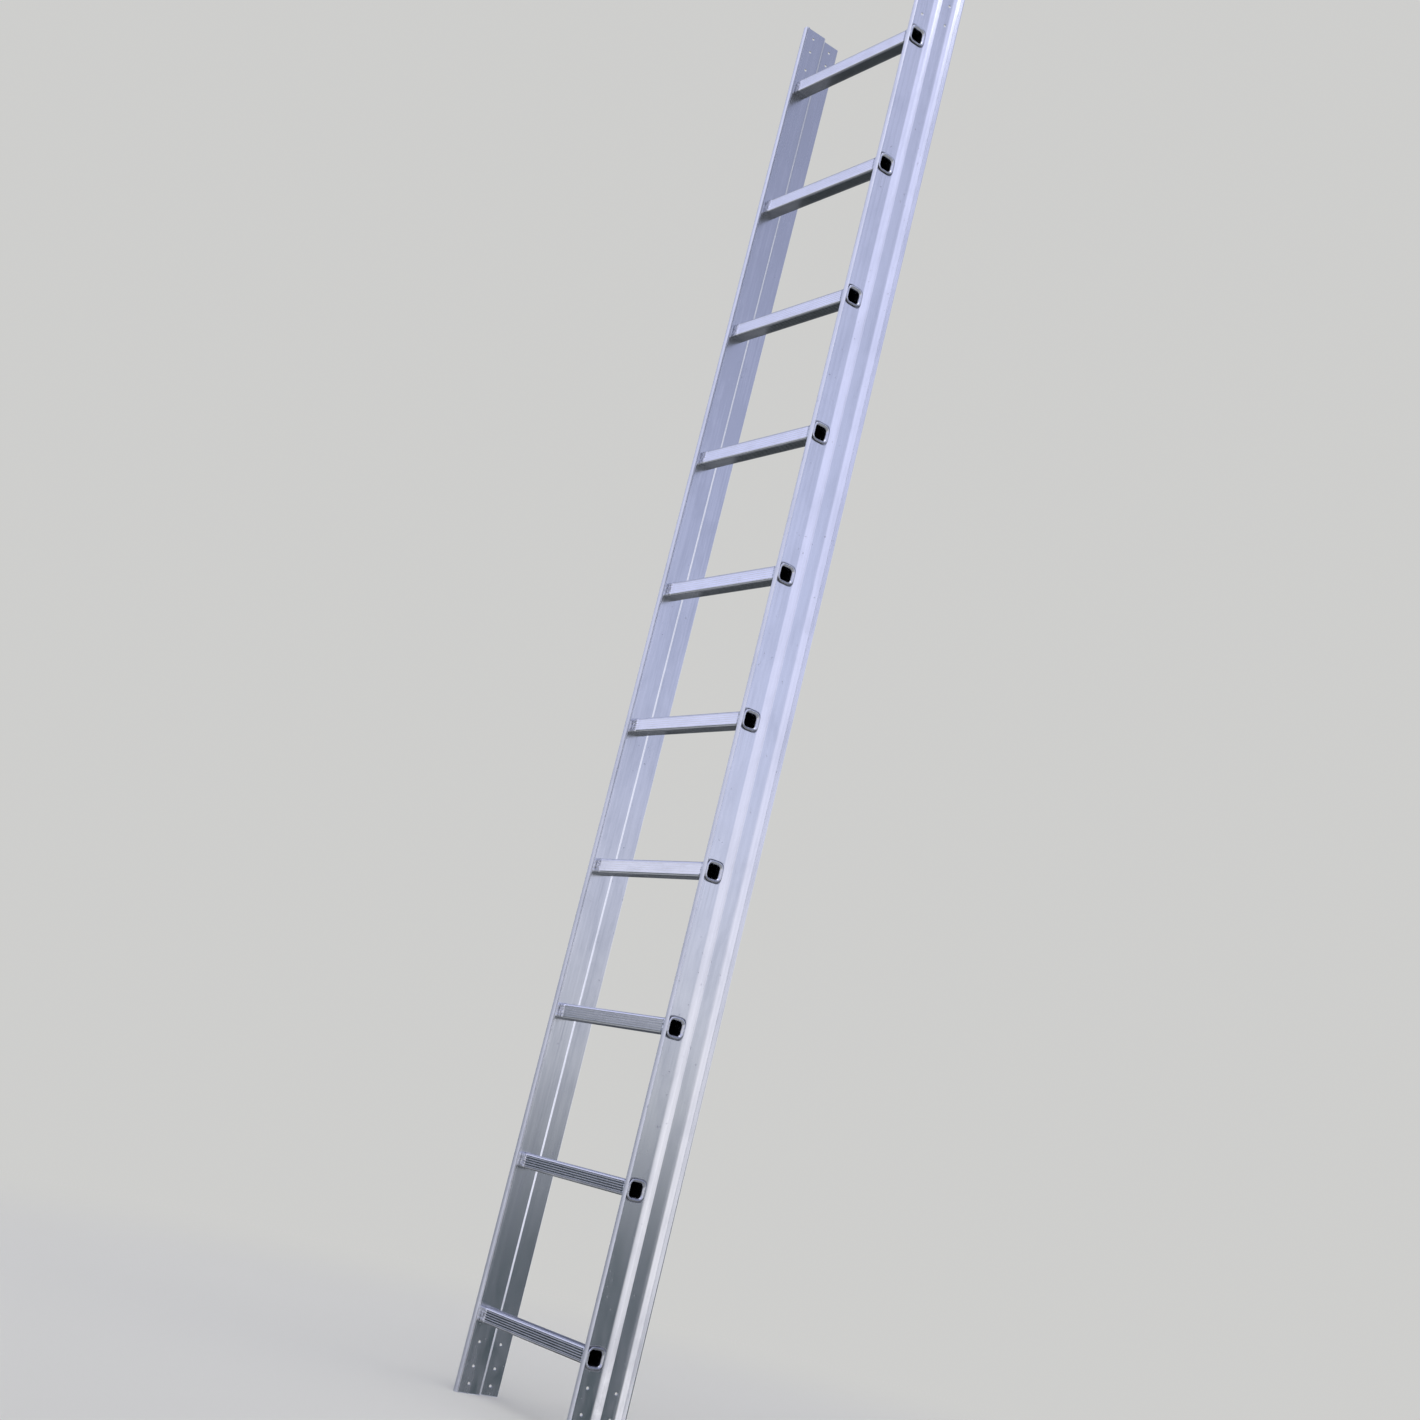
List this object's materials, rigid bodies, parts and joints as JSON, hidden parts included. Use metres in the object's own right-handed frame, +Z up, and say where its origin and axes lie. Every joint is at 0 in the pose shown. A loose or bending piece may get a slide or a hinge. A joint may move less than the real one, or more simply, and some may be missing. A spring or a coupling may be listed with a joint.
{
  "type": "extension ladder section",
  "caption": "Aluminium section of an extension ladder: stepped channel stiles with outward flanges, joined by ribbed square rungs swaged and flared through them.",
  "frame": {"origin": "on the ground under the middle of the section, the centre of the bottom of its box", "axes": "+X along the rungs to the right-hand stile seen by the climber, +Y away from the climber to the wall side, +Z up the stiles"},
  "size_m": [0.45, 0.104, 3],
  "materials": {
    "stile_aluminium": "extruded mill finish with fine lines along the stile, a few scuffs",
    "rung_aluminium": "ribbed extrusion, slightly duller and rubbed on top, swaged and flared at the ends"
  },
  "bodies": {
    "root": {"stile_left": "stile_aluminium", "stile_right": "stile_aluminium", "rung_01": "rung_aluminium", "rung_02": "rung_aluminium", "rung_03": "rung_aluminium", "rung_04": "rung_aluminium", "rung_05": "rung_aluminium", "rung_06": "rung_aluminium", "rung_07": "rung_aluminium", "rung_08": "rung_aluminium", "rung_09": "rung_aluminium", "rung_10": "rung_aluminium"}
  },
  "joints": []
}
